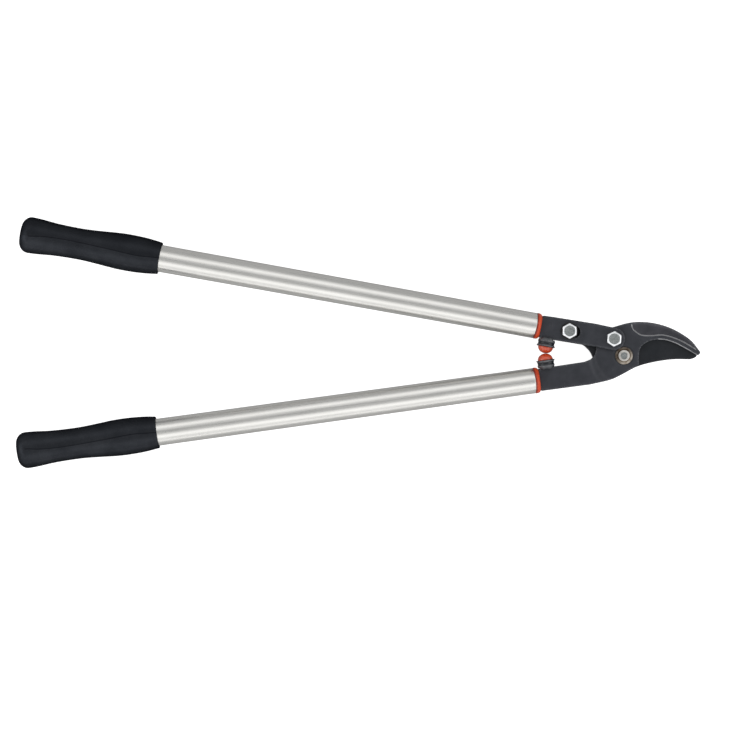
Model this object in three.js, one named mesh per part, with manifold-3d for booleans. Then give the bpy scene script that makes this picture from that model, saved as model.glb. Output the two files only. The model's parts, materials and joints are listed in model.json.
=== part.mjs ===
// Lever-action bypass loppers, shown closed. Millimetres, +Z up.
// The tool lies flat. X runs from the grips to the jaw tips, and Y from the lower to the upper handle.
// The origin is on the axis of the main pivot, in the rear end face of the pivot bolt.
import * as THREE from 'three';
import { mergeVertices } from 'three/addons/utils/BufferGeometryUtils.js';
import Module from 'manifold-3d';

const wasm = await Module();
wasm.setup();

// ---------- driving dimensions ----------
const GAP = 0.3; // running gap between touching pieces
const RAD = Math.PI / 180;

// layers through the head, from the back to the front
const AXIS_Z = 20; // height of the tube axes
const BLADE_BACK_Z = 8.75;
const BLADE_FRONT_Z = 13.85;
const HOOK_BACK_Z = 14.15;
const HOOK_FRONT_Z = 20.3;
const ARM_BACK_Z = 14.3;
const ARM_FRONT_Z = 25.7;
const LEVER_NECK_BACK_Z = 20.6; // the lever's round end runs over the hook plate

// pivots, as [x, y]
const FULCRUM = [-12.7, 19.3]; // the lever arm turns here on the hook plate
const DRIVE = [-65.1, 27.4]; // the blade's tail is driven here, in the lever arm's slot

// motion: the lever arm turns about the fulcrum and the blade about the pivot
const LEVER_SWING = 78;
const BLADE_RATIO = 0.708;

// M10 hardware
const SHANK_R = 4.95;
const SHANK_BORE_R = SHANK_R + GAP;
const HEX_FLATS = 17;
const HEAD_H = 6.4;
const NUT_H = 6;
const WASHER_H = 1.15;
const REAR_WASHER_R = 10;
const SLIDE_BUSH_R = 6.2;

// handles
const HANDLE_ANGLE = 8.98; // each handle's slope to the centre line
const CENTRE_Y = 0.8; // the line on which the two bumpers meet
const MOUTH_X = -104.4; // where the tubes end
const MOUTH_Y = 32.2; // from the centre line
const TUBE_LENGTH = 595;
const TUBE_MOUTH_R = 14.95;
const TUBE_TAPER = 0.95 / 446; // the tube widens slightly towards the grip
const TUBE_WALL = 1.5;
const GRIP_START = 444.7;
const GRIP_END = 610.7;
const ARM_HALF_WIDTH = 13.1;
const TANG_HALF_WIDTH = 10;
const TANG_END = 40;
const SHOULDER = -6.5;

// bumpers
const BUMPER_U = -16.2;
const BUMPER_DOME_R = 8.55;
const BUMPER_DOME_H = 7.9; // height of the dome's centre above the cup's base
const BUMPER_SCREW_R = 2.4;
const BUMPER_SCREW_DEPTH = 10;

// ---------- solids ----------
function toSolid(geometry) {
  const bare = geometry.clone();
  bare.deleteAttribute('normal');
  bare.deleteAttribute('uv');
  const welded = mergeVertices(bare, 1e-4);
  const positions = welded.attributes.position;
  const triangles = Uint32Array.from(welded.index.array);
  const a = new THREE.Vector3();
  const b = new THREE.Vector3();
  const c = new THREE.Vector3();
  let volume = 0;
  for (let i = 0; i < triangles.length; i += 3) {
    a.fromBufferAttribute(positions, triangles[i]);
    b.fromBufferAttribute(positions, triangles[i + 1]);
    c.fromBufferAttribute(positions, triangles[i + 2]);
    volume += a.dot(b.cross(c));
  }
  if (volume < 0) {
    for (let i = 0; i < triangles.length; i += 3) {
      [triangles[i], triangles[i + 1]] = [triangles[i + 1], triangles[i]];
    }
  }
  const vertProperties = Float32Array.from(positions.array);
  return new wasm.Manifold(new wasm.Mesh({ numProp: 3, vertProperties, triVerts: triangles }));
}

function toGeometry(solid) {
  const mesh = solid.getMesh();
  const geometry = new THREE.BufferGeometry();
  geometry.setAttribute('position', new THREE.BufferAttribute(mesh.vertProperties, 3));
  geometry.setIndex(new THREE.BufferAttribute(mesh.triVerts, 1));
  geometry.computeVertexNormals();
  return geometry;
}

// a flat plate with chamfered edges, from an outline in the XY plane
function plate(outline, zBack, zFront, chamfer = 0) {
  const geometry = new THREE.ExtrudeGeometry(new THREE.Shape(outline), {
    depth: zFront - zBack - 2 * chamfer,
    bevelEnabled: chamfer > 0,
    bevelThickness: chamfer,
    bevelSize: chamfer,
    bevelOffset: -chamfer,
    bevelSegments: 1,
    curveSegments: 1,
  });
  geometry.translate(0, 0, zBack + chamfer);
  return toSolid(geometry);
}

function cylinder([x, y], radius, zBack, zFront, segments = 30) {
  const geometry = new THREE.CylinderGeometry(radius, radius, zFront - zBack, segments);
  geometry.rotateX(Math.PI / 2);
  geometry.translate(x, y, (zBack + zFront) / 2);
  return toSolid(geometry);
}

function ring(centre, innerR, outerR, zBack, zFront) {
  const bore = cylinder(centre, innerR, zBack - 1, zFront + 1);
  return cylinder(centre, outerR, zBack, zFront).subtract(bore);
}

// a hexagon prism with its corners chamfered by a cone, its points along Y as the tool lies
function hexPrism([x, y], zBack, zFront, chamferFront = true) {
  const cornerR = HEX_FLATS / Math.sqrt(3);
  const height = zFront - zBack;
  const hex = new THREE.CylinderGeometry(cornerR, cornerR, height, 6);
  const cone = new THREE.LatheGeometry([
    new THREE.Vector2(0, -height / 2 - 0.1),
    new THREE.Vector2(cornerR + 0.5, -height / 2 - 0.1),
    new THREE.Vector2(cornerR + 0.5, height / 2 - 1.1),
    new THREE.Vector2(HEX_FLATS / 2 - 0.3, height / 2 + 0.01),
    new THREE.Vector2(0, height / 2 + 0.01),
  ], 24);
  const solid = toSolid(hex).intersect(toSolid(cone));
  const geometry = toGeometry(solid);
  geometry.rotateX(chamferFront ? Math.PI / 2 : -Math.PI / 2);
  geometry.rotateZ(4 * RAD);
  geometry.translate(x, y, (zBack + zFront) / 2);
  return toSolid(geometry);
}

function lathe(profile, segments = 32) {
  const points = profile.map(([r, h]) => new THREE.Vector2(r, h));
  return toSolid(new THREE.LatheGeometry(points, segments));
}

// plate whose outline changes from level to level; each level has the same number of points
function stackedPlate(levels) {
  const count = levels[0].outline.length;
  const positions = [];
  const index = [];
  for (const { outline, z } of levels) {
    for (const point of outline) {
      positions.push(point.x, point.y, z);
    }
  }
  for (let level = 0; level + 1 < levels.length; level += 1) {
    for (let i = 0; i < count; i += 1) {
      const a = level * count + i;
      const b = level * count + ((i + 1) % count);
      index.push(a, b, b + count, a, b + count, a + count);
    }
  }
  const top = (levels.length - 1) * count;
  for (const [i, j, k] of THREE.ShapeUtils.triangulateShape(levels[0].outline, [])) {
    index.push(k, j, i);
  }
  for (const [i, j, k] of THREE.ShapeUtils.triangulateShape(levels.at(-1).outline, [])) {
    index.push(top + i, top + j, top + k);
  }
  const geometry = new THREE.BufferGeometry();
  geometry.setAttribute('position', new THREE.Float32BufferAttribute(positions, 3));
  geometry.setIndex(index);
  return toSolid(geometry);
}

// ---------- outlines ----------
const vec = ([x, y]) => new THREE.Vector2(x, y);

function spline(points, divisions) {
  return new THREE.SplineCurve(points.map(vec)).getPoints(divisions);
}

function arc([x, y], radius, startDeg, endDeg, divisions) {
  const turn = (endDeg - startDeg) * RAD;
  return Array.from({ length: divisions + 1 }, (_, i) => {
    const angle = startDeg * RAD + (turn * i) / divisions;
    return new THREE.Vector2(x + radius * Math.cos(angle), y + radius * Math.sin(angle));
  });
}

// a point of a handle: u runs along its axis towards the grip, v away from the other handle
function handlePoint(side, u, v) {
  const angle = HANDLE_ANGLE * RAD;
  const x = MOUTH_X - u * Math.cos(angle) + v * Math.sin(angle);
  const y = MOUTH_Y + u * Math.sin(angle) + v * Math.cos(angle);
  return new THREE.Vector2(x, CENTRE_Y + side * y);
}

function tangOutline(side) {
  return [
    handlePoint(side, SHOULDER, ARM_HALF_WIDTH),
    handlePoint(side, SHOULDER, TANG_HALF_WIDTH),
    handlePoint(side, TANG_END, TANG_HALF_WIDTH),
    handlePoint(side, TANG_END, -TANG_HALF_WIDTH),
    handlePoint(side, SHOULDER, -TANG_HALF_WIDTH),
    handlePoint(side, SHOULDER, -ARM_HALF_WIDTH),
  ];
}

const HOOK_INNER_EDGE = [[17.7, -9.5], [17.6, 0], [18.8, 8.6], [23.5, 14.3], [32.3, 18.6],
  [44.9, 19.6], [57.8, 16.5], [70.9, 10.3], [85.6, 2.3]];
const HOOK_OUTER_EDGE = [[89.5, 6.2], [77.2, 20.2], [59, 31.3], [41.1, 37.5], [23.5, 39.9],
  [6, 38.8], [-13.8, 33]];

function hookOutline() {
  return [
    ...spline([[-39.3, -34.6], [-16, -28.8], [-4.4, -23.5], [7.1, -16.9], [15.6, -12.1]], 12),
    ...spline(HOOK_INNER_EDGE, 28),
    vec([88.3, 2.9]),
    ...spline(HOOK_OUTER_EDGE, 24),
    ...spline([[-24.6, 24.2], [-31.4, 14], [-33.4, 2.6], [-38, -4.4], [-45.7, -8.1]], 12),
    ...tangOutline(-1).reverse(),
  ];
}

const CUTTING_EDGE = [[16.5, 19.5], [30, 23.4], [45, 23], [60, 18.4], [74.4, 10.9], [85.4, 3.1]];

function bladeOutline() {
  const edge = spline(CUTTING_EDGE, 20);
  const rest = [
    ...spline([[4, 24.5], [-20, 30.2], [-54, 36.6]], 8),
    ...arc(DRIVE, 12, 40, 250, 16),
    ...spline([[-56, 13.6], [-47.9, 11.6], [-39.6, 4.3], [-33, -6.4], [-18, -15.4], [1.3, -17.6]], 16),
    ...spline([[12.9, -13.9], [24.5, -9.6], [42, -5.4], [59.5, -3], [78.3, -2.7]], 14),
    vec([82.6, -1.3]),
    vec([86.3, 1.3]),
  ];
  return { outline: [...edge.reverse(), ...rest], edgeCount: edge.length };
}

function leverOutline() {
  return [
    vec([-48.1, 11.7]),
    vec([-33, 9.6]),
    ...arc(FULCRUM, 12.9, -98, 76, 18),
    vec([-34, 36.6]),
    vec([-84.2, 43.6]),
    ...tangOutline(1),
  ];
}

// ---------- forgings ----------
function bumperHole(side) {
  const start = handlePoint(side, BUMPER_U, -ARM_HALF_WIDTH - 1);
  const end = handlePoint(side, BUMPER_U, -ARM_HALF_WIDTH + BUMPER_SCREW_DEPTH + GAP);
  const length = start.distanceTo(end);
  const radius = BUMPER_SCREW_R + GAP;
  const geometry = new THREE.CylinderGeometry(radius, radius, length, 20);
  geometry.rotateZ(Math.atan2(end.y - start.y, end.x - start.x) - Math.PI / 2);
  geometry.translate((start.x + end.x) / 2, (start.y + end.y) / 2, AXIS_Z);
  return toSolid(geometry);
}

// the hook plate's back is ground flat for the blade, and stands a little behind the arm's back
function armBackRelief() {
  const height = ARM_BACK_Z - HOOK_BACK_Z + 1;
  const geometry = new THREE.BoxGeometry(100, 120, height);
  geometry.translate(-97, 0, ARM_BACK_Z - height / 2);
  return toSolid(geometry);
}

// everything above the hook plate on the head side of the step, with a slope down to the plate
function headRelief() {
  const high = ARM_FRONT_Z + 1;
  const profile = [
    [-49.5, high],
    [-47, ARM_FRONT_Z - 0.4],
    [-38.5, HOOK_FRONT_Z],
    [100, HOOK_FRONT_Z],
    [100, high],
  ];
  const shape = new THREE.Shape(profile.map(vec));
  const geometry = new THREE.ExtrudeGeometry(shape, { depth: 120, bevelEnabled: false });
  geometry.rotateX(Math.PI / 2);
  geometry.translate(0, 60, 0);
  return toSolid(geometry);
}

// the ground field on the front of the hook, between its ridge and its outer edge
function hookField() {
  const ridge = [[7.3, 41], [10.5, 29.5], [20.1, 23.7], [32.2, 23.4], [44.8, 24.3], [57.6, 21.4],
    [70.4, 16], [84, 8.4]];
  const outline = [...spline(ridge, 24), vec([100, 12]), vec([60, 50])];
  return plate(outline, HOOK_FRONT_Z - 1.1, HOOK_FRONT_Z + 1);
}

function hookArm() {
  const chamfer = 0.7;
  return plate(hookOutline(), HOOK_BACK_Z, ARM_FRONT_Z, chamfer)
    .subtract(headRelief())
    .subtract(armBackRelief())
    .subtract(hookField())
    .subtract(cylinder([0, 0], SHANK_BORE_R, 0, 40))
    .subtract(cylinder([0, 0], 10.6, HOOK_FRONT_Z - 1.6, 40))
    .subtract(cylinder(FULCRUM, SHANK_BORE_R, 0, 40))
    .subtract(bumperHole(-1));
}

function cuttingBlade() {
  const { outline, edgeCount } = bladeOutline();
  const bevelWidth = 7.5;
  const ground = outline.map((point, i) => {
    if (i >= edgeCount) {
      return point.clone();
    }
    const before = outline[Math.max(i - 1, 0)];
    const after = outline[i + 1];
    const along = after.clone().sub(before).normalize();
    const along01 = i / (edgeCount - 1);
    const depth = bevelWidth * Math.min(1, Math.sin(along01 * Math.PI) * 1.8);
    return new THREE.Vector2(point.x - along.y * depth, point.y + along.x * depth);
  });
  const landZ = BLADE_FRONT_Z - 0.5;
  return stackedPlate([
    { outline: ground, z: BLADE_BACK_Z },
    { outline, z: landZ },
    { outline, z: BLADE_FRONT_Z },
  ])
    .subtract(cylinder([0, 0], 7.3, 0, 40))
    .subtract(cylinder(DRIVE, SHANK_BORE_R, 0, 40));
}

// The drive bolt turns about the pivot with the blade, and slides along the lever arm's slot.
// The slot is as long as that slide, and as wide as the bush and the bolt's sideways play in it.
function driveSlot() {
  const fulcrum = vec(FULCRUM);
  const slotAngle = vec(DRIVE).sub(fulcrum).angle();
  const path = Array.from({ length: 14 }, (_, i) => {
    const swing = (LEVER_SWING * RAD * i) / 13;
    const bolt = vec(DRIVE).rotateAround(new THREE.Vector2(), -swing * BLADE_RATIO);
    const inLever = bolt.rotateAround(fulcrum, swing).sub(fulcrum);
    return inLever.rotateAround(new THREE.Vector2(), -slotAngle);
  });
  const inner = Math.min(...path.map((point) => point.x));
  const outer = Math.max(...path.map((point) => point.x));
  const play = Math.max(...path.map((point) => Math.abs(point.y)));
  const radius = SLIDE_BUSH_R + GAP + play;
  const outline = [...arc([outer, 0], radius, -90, 90, 14), ...arc([inner, 0], radius, 90, 270, 14)];
  for (const point of outline) {
    point.rotateAround(new THREE.Vector2(), slotAngle).add(fulcrum);
  }
  return plate(outline, 0, 40);
}

function leverArm() {
  return plate(leverOutline(), ARM_BACK_Z, ARM_FRONT_Z, 0.7)
    .subtract(cylinder(FULCRUM, 26.5, 0, LEVER_NECK_BACK_Z, 64))
    .subtract(cylinder(FULCRUM, 10.3, 0, LEVER_NECK_BACK_Z + WASHER_H + GAP))
    .subtract(cylinder(FULCRUM, 7.5, 0, 40))
    .subtract(driveSlot())
    .subtract(bumperHole(1));
}

// ---------- pivot, fulcrum and drive hardware ----------
const REAR_NUT_FRONT_Z = BLADE_BACK_Z - 2 * GAP - WASHER_H;

function hexNut(centre) {
  const bore = cylinder(centre, SHANK_BORE_R, -1, 20);
  return hexPrism(centre, REAR_NUT_FRONT_Z - NUT_H, REAR_NUT_FRONT_Z, false).subtract(bore);
}

function rearWasher(centre) {
  return ring(centre, SHANK_BORE_R, REAR_WASHER_R, BLADE_BACK_Z - GAP - WASHER_H, BLADE_BACK_Z - GAP);
}

function pivotBolt() {
  const headBack = HOOK_FRONT_Z + 0.35;
  const head = lathe([
    [0, headBack],
    [6.5, headBack],
    [6.5, headBack + 1.4],
    [6, headBack + 1.9],
    [3.6, headBack + 1.9],
    [3.3, headBack + 0.7],
    [0, headBack + 0.7],
  ]).rotate([90, 0, 0]);
  return cylinder([0, 0], SHANK_R, 0, headBack + 0.5).add(head);
}

function hexBolt(centre, zEnd, zHead) {
  return cylinder(centre, SHANK_R, zEnd, zHead + 1).add(hexPrism(centre, zHead, zHead + HEAD_H));
}

// ---------- handles ----------
const tubeRadius = (u) => TUBE_MOUTH_R + TUBE_TAPER * u;

function tube() {
  const start = tubeRadius(0);
  const end = tubeRadius(TUBE_LENGTH);
  return lathe([
    [start - TUBE_WALL, 0],
    [start, 0],
    [end, TUBE_LENGTH],
    [end - TUBE_WALL, TUBE_LENGTH],
    [start - TUBE_WALL, 0],
  ]);
}

function tangSlot(length) {
  const width = 2 * (TANG_HALF_WIDTH + GAP);
  const thickness = 2 * Math.max(ARM_FRONT_Z - AXIS_Z, AXIS_Z - HOOK_BACK_Z) + 2 * GAP;
  return toSolid(new THREE.BoxGeometry(width, length, thickness));
}

// a collar with a domed face in front of the tube and a spigot inside it
function ferrule() {
  const spigotR = TUBE_MOUTH_R - TUBE_WALL - GAP;
  const collarR = 15.2;
  const face = -SHOULDER - GAP;
  return lathe([
    [0, -face],
    [13.4, -face],
    [14.6, -face + 1],
    [collarR, -face + 2.3],
    [collarR, -GAP],
    [spigotR, -GAP],
    [spigotR, 12],
    [0, 12],
  ]).subtract(tangSlot(80));
}

function tubePlug() {
  const radius = TUBE_MOUTH_R - TUBE_WALL - GAP;
  return lathe([[0, 12 + GAP], [radius, 12 + GAP], [radius, TANG_END + 2], [0, TANG_END + 2]])
    .subtract(tangSlot(120));
}

// half width of the grip at u, and the same scaled for its half thickness
const GRIP_PROFILE = [[444.7, 18.4], [455, 20], [468, 21.1], [484, 21.5], [498, 21],
  [514, 19.7], [532, 18.5], [548, 18.3], [568, 18.9], [586, 20.5], [595, 21.1], [599, 21.2]];
const GRIP_CORNER_R = 11.6;
const GRIP_HALF_THICKNESS = 20;
const GRIP_WIDEST = 21.5;

function grip() {
  const segments = 30;
  const rings = [];
  const thickness = (width) => (width * GRIP_HALF_THICKNESS) / GRIP_WIDEST;
  const boreEnd = TUBE_LENGTH + 1;
  const boreR = (u) => tubeRadius(u) + GAP;
  rings.push([boreEnd, 0.01, 0.01], [boreEnd, boreR(boreEnd), boreR(boreEnd)]);
  rings.push([GRIP_START, boreR(GRIP_START), boreR(GRIP_START)]);
  for (const point of spline(GRIP_PROFILE, 22)) {
    rings.push([point.x, point.y, thickness(point.y)]);
  }
  const cornerStart = GRIP_PROFILE.at(-1)[0];
  const endWidth = GRIP_PROFILE.at(-1)[1];
  for (let i = 1; i <= 5; i += 1) {
    const angle = (i / 5) * 90 * RAD;
    const width = endWidth - GRIP_CORNER_R * (1 - Math.cos(angle));
    rings.push([cornerStart + (GRIP_END - cornerStart) * Math.sin(angle), width, thickness(width)]);
  }
  rings.push([GRIP_END, 0.01, 0.01]);
  const positions = [];
  const index = [];
  for (const [u, width, height] of rings) {
    for (let i = 0; i < segments; i += 1) {
      const angle = (i / segments) * 2 * Math.PI;
      positions.push(width * Math.cos(angle), u, height * Math.sin(angle));
    }
  }
  for (let r = 0; r + 1 < rings.length; r += 1) {
    for (let i = 0; i < segments; i += 1) {
      const a = r * segments + i;
      const b = r * segments + ((i + 1) % segments);
      index.push(a, b, b + segments, a, b + segments, a + segments);
    }
  }
  for (let i = 1; i + 1 < segments; i += 1) {
    const last = (rings.length - 1) * segments;
    index.push(0, i + 1, i, last, last + i, last + i + 1);
  }
  const geometry = new THREE.BufferGeometry();
  geometry.setAttribute('position', new THREE.Float32BufferAttribute(positions, 3));
  geometry.setIndex(index);
  return toSolid(geometry);
}

// ---------- bumpers, with their axes along Y and their bases at Y = 0 ----------
function bumperCup() {
  const bore = BUMPER_SCREW_R + GAP;
  return lathe([
    [bore, 0],
    [9.4, 0],
    [9.9, 1],
    [9.9, 6.8],
    [10.9, 8.2],
    [10.9, 8.8],
    [9.3, 8.8],
    [8.7, 7.4],
    [8.7, 2],
    [bore, 2],
    [bore, 0],
  ]);
}

function bumperDome() {
  const neckBase = 2 + GAP;
  const profile = [[0, 6], [4.4, 6], [4.4, neckBase], [8.3, neckBase], [8.3, BUMPER_DOME_H - 1.6]];
  for (let i = 0; i <= 9; i += 1) {
    const angle = (i / 9) * 90 * RAD;
    profile.push([BUMPER_DOME_R * Math.cos(angle), BUMPER_DOME_H + BUMPER_DOME_R * Math.sin(angle)]);
  }
  profile.at(-1)[0] = 0;
  return lathe(profile);
}

function bumperScrew() {
  const headBase = 2 + GAP;
  return lathe([
    [0, -BUMPER_SCREW_DEPTH],
    [BUMPER_SCREW_R, -BUMPER_SCREW_DEPTH],
    [BUMPER_SCREW_R, headBase],
    [4, headBase],
    [4, headBase + 2.6],
    [0, headBase + 2.6],
  ], 24);
}

// ---------- assembly ----------
function finish(color, roughness, metalness) {
  return () => new THREE.MeshStandardMaterial({ color, roughness, metalness });
}

const FORGED = finish(0x34363c, 0.5, 0.6);
const BLADE_STEEL = finish(0x26262c, 0.4, 0.6);
const ZINC = finish(0xc9cbd0, 0.35, 0.9);
const BLACK_OXIDE = finish(0x17181b, 0.5, 0.6);
const BRONZE = finish(0xa59687, 0.4, 0.8);
const ALUMINIUM = finish(0xbdbab8, 0.3, 0.9);
const ORANGE = finish(0xd74b2d, 0.5, 0);
const BLACK_RUBBER = finish(0x20242a, 0.6, 0);
const PLUG_NYLON = finish(0x3a3a3a, 0.6, 0);

const loppers = new THREE.Group();

function place(group, name, solid, material) {
  const mesh = new THREE.Mesh(toGeometry(solid), material());
  mesh.name = name;
  group.add(mesh);
}

place(loppers, 'hook_arm', hookArm(), FORGED);
place(loppers, 'cutting_blade', cuttingBlade(), BLADE_STEEL);
place(loppers, 'lever_arm', leverArm(), FORGED);

place(loppers, 'pivot_bolt', pivotBolt(), ZINC);
place(loppers, 'pivot_nut', hexNut([0, 0]), ZINC);
place(loppers, 'pivot_rear_washer', rearWasher([0, 0]), ZINC);
const frontWasherBack = HOOK_FRONT_Z - 1.6 + GAP;
place(loppers, 'pivot_front_washer', ring([0, 0], SHANK_BORE_R, 10.25, frontWasherBack, HOOK_FRONT_Z), BRONZE);
place(loppers, 'blade_bush', ring([0, 0], SHANK_BORE_R, 7, BLADE_BACK_Z + 0.1, BLADE_FRONT_Z), BRONZE);

const fulcrumHeadZ = ARM_FRONT_Z + GAP;
const thrustWasherZ = LEVER_NECK_BACK_Z + WASHER_H;
place(loppers, 'fulcrum_bolt', hexBolt(FULCRUM, HOOK_BACK_Z + 0.2, fulcrumHeadZ), ZINC);
place(loppers, 'fulcrum_washer', ring(FULCRUM, SHANK_BORE_R, 10, LEVER_NECK_BACK_Z, thrustWasherZ), BRONZE);
place(loppers, 'fulcrum_bush', ring(FULCRUM, SHANK_BORE_R, 7.2, thrustWasherZ + GAP, ARM_FRONT_Z), BRONZE);

const driveWasherZ = ARM_FRONT_Z + 0.5;
const driveHeadZ = driveWasherZ + WASHER_H + GAP;
const slideBushBack = BLADE_FRONT_Z + GAP;
place(loppers, 'drive_bolt', hexBolt(DRIVE, 0.4, driveHeadZ), ZINC);
place(loppers, 'drive_bolt_nut', hexNut(DRIVE), ZINC);
place(loppers, 'drive_rear_washer', rearWasher(DRIVE), ZINC);
place(loppers, 'slide_bush', ring(DRIVE, SHANK_BORE_R, SLIDE_BUSH_R, slideBushBack, driveWasherZ - GAP), BLACK_OXIDE);
place(loppers, 'drive_washer', ring(DRIVE, SHANK_BORE_R, 10.2, driveWasherZ, driveWasherZ + WASHER_H), BLACK_OXIDE);

// each handle's pieces are made along Y and turned so that Y runs towards the grip
function handle(prefix, side) {
  const group = new THREE.Group();
  const mouth = handlePoint(side, 0, 0);
  group.position.set(mouth.x, mouth.y, AXIS_Z);
  group.rotation.z = side > 0 ? (90 - HANDLE_ANGLE) * RAD : (90 + HANDLE_ANGLE) * RAD;
  place(group, `${prefix}_tube`, tube(), ALUMINIUM);
  place(group, `${prefix}_ferrule`, ferrule(), ORANGE);
  place(group, `${prefix}_tube_plug`, tubePlug(), PLUG_NYLON);
  place(group, `${prefix}_grip`, grip(), BLACK_RUBBER);

  const bumper = new THREE.Group();
  const seat = handlePoint(side, BUMPER_U, -ARM_HALF_WIDTH - GAP);
  bumper.position.set(seat.x, seat.y, AXIS_Z);
  bumper.rotation.z = side > 0 ? (180 - HANDLE_ANGLE) * RAD : HANDLE_ANGLE * RAD;
  place(bumper, `${prefix}_bumper_cup`, bumperCup(), BLACK_RUBBER);
  place(bumper, `${prefix}_bumper_dome`, bumperDome(), ORANGE);
  place(bumper, `${prefix}_bumper_screw`, bumperScrew(), ZINC);
  loppers.add(group, bumper);
}

handle('lower', -1);
handle('upper', 1);

export default loppers;
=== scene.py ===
"""Looks for a pair of lever-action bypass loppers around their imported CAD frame.

The shapes are worked out in millimetres in the frame's own axes and written in metres.
X runs from the grips to the jaw tips, Y from the lower to the upper handle, Z to the front.
"""

import json
import math

import bpy
import numpy as np
from mathutils import Matrix, Vector
from mathutils.geometry import delaunay_2d_cdt


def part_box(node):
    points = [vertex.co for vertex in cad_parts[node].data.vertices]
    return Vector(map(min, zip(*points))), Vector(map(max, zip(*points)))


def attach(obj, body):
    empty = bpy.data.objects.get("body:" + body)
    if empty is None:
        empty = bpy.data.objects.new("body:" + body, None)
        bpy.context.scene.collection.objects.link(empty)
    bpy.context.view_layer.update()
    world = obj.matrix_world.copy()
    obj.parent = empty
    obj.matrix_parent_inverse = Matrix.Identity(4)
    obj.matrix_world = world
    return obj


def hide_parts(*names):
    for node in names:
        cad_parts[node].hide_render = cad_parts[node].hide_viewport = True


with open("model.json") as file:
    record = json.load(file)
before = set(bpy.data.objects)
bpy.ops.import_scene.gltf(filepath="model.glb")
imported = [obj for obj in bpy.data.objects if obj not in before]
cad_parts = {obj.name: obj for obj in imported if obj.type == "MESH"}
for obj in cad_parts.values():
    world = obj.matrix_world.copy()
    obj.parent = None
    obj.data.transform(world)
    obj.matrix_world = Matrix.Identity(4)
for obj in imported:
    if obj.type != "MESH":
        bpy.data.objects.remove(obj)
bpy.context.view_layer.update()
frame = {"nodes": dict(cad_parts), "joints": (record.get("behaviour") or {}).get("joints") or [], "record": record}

MM = 0.001
HOOK, LEVER, BLADE = "hook_handle", "lever_handle", "blade"


# ---- sizes from the frame
def box_mm(node):
    low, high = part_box(node)
    return np.array(low) / MM, np.array(high) / MM


def centre_mm(node):
    low, high = box_mm(node)
    return ((low + high) / 2)[:2]


PIVOT = centre_mm("pivot_bolt")
FULCRUM = centre_mm("fulcrum_bolt")
DRIVE = centre_mm("drive_bolt")
ARM_BACK, ARM_FRONT = box_mm("lever_arm")[0][2], box_mm("lever_arm")[1][2]
BLADE_BACK, BLADE_FRONT = box_mm("cutting_blade")[0][2], box_mm("cutting_blade")[1][2]
HOOK_BACK = box_mm("hook_arm")[0][2]
HOOK_FRONT = box_mm("pivot_front_washer")[1][2]
NECK_BACK = box_mm("fulcrum_washer")[0][2]
WASHER_SEAT = box_mm("fulcrum_washer")[1][2] + 0.3
JOINT = {joint["name"]: joint for joint in frame["joints"]}
LEVER_SWING = math.radians(JOINT["lever_fulcrum"]["range_deg"][1])
BLADE_SWING = LEVER_SWING * frame["record"]["behaviour"]["couplings"][0]["ratio"]

# handles: u runs from the tube's mouth towards the grip, v away from the other handle
HANDLE_ANGLE = math.radians(8.98)
CENTRE_Y = 0.8
MOUTH = (-104.4, 32.2)
AXIS_Z = 20.0
TUBE_R = 14.95
TUBE_TAPER = 0.95 / 446
TUBE_WALL = 1.5
TUBE_LENGTH = 595.0
SHOULDER = -6.5
ARM_HALF_WIDTH = 13.1
TANG_HALF_WIDTH = 10.0
TANG_END = 40.0
BUMPER_U = -16.2
SHANK_R = 4.95
SHANK_BORE_R = SHANK_R + 0.3


def handle_point(side, u, v):
    along, across = math.cos(HANDLE_ANGLE), math.sin(HANDLE_ANGLE)
    x = MOUTH[0] - u * along + v * across
    y = MOUTH[1] + u * across + v * along
    return np.array((x, CENTRE_Y + side * y))


def handle_matrix(side):
    """Local Z runs along the tube towards the grip, local Y to the front."""
    origin = handle_point(side, 0, 0)
    towards_grip = handle_point(side, 1, 0) - origin
    z_axis = Vector((*towards_grip, 0)).normalized()
    y_axis = Vector((0, 0, 1))
    x_axis = y_axis.cross(z_axis)
    matrix = Matrix((x_axis, y_axis, z_axis)).transposed().to_4x4()
    matrix.translation = Vector((*origin, AXIS_Z)) * MM
    return matrix


def bumper_matrix(side):
    """Local Z runs from the arm's inner edge towards the other handle, local Y to the front."""
    seat = handle_point(side, BUMPER_U, -ARM_HALF_WIDTH - 0.3)
    inward = handle_point(side, BUMPER_U, -ARM_HALF_WIDTH - 1.3) - seat
    z_axis = Vector((*inward, 0)).normalized()
    y_axis = Vector((0, 0, 1))
    matrix = Matrix((y_axis.cross(z_axis), y_axis, z_axis)).transposed().to_4x4()
    matrix.translation = Vector((*seat, AXIS_Z)) * MM
    return matrix


# ---- materials
def node_input(node, name, value, links):
    if isinstance(value, bpy.types.NodeSocket):
        links.new(value, node.inputs[name])
    else:
        node.inputs[name].default_value = value


COAT_ROUGHNESS = 0.18


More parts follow.
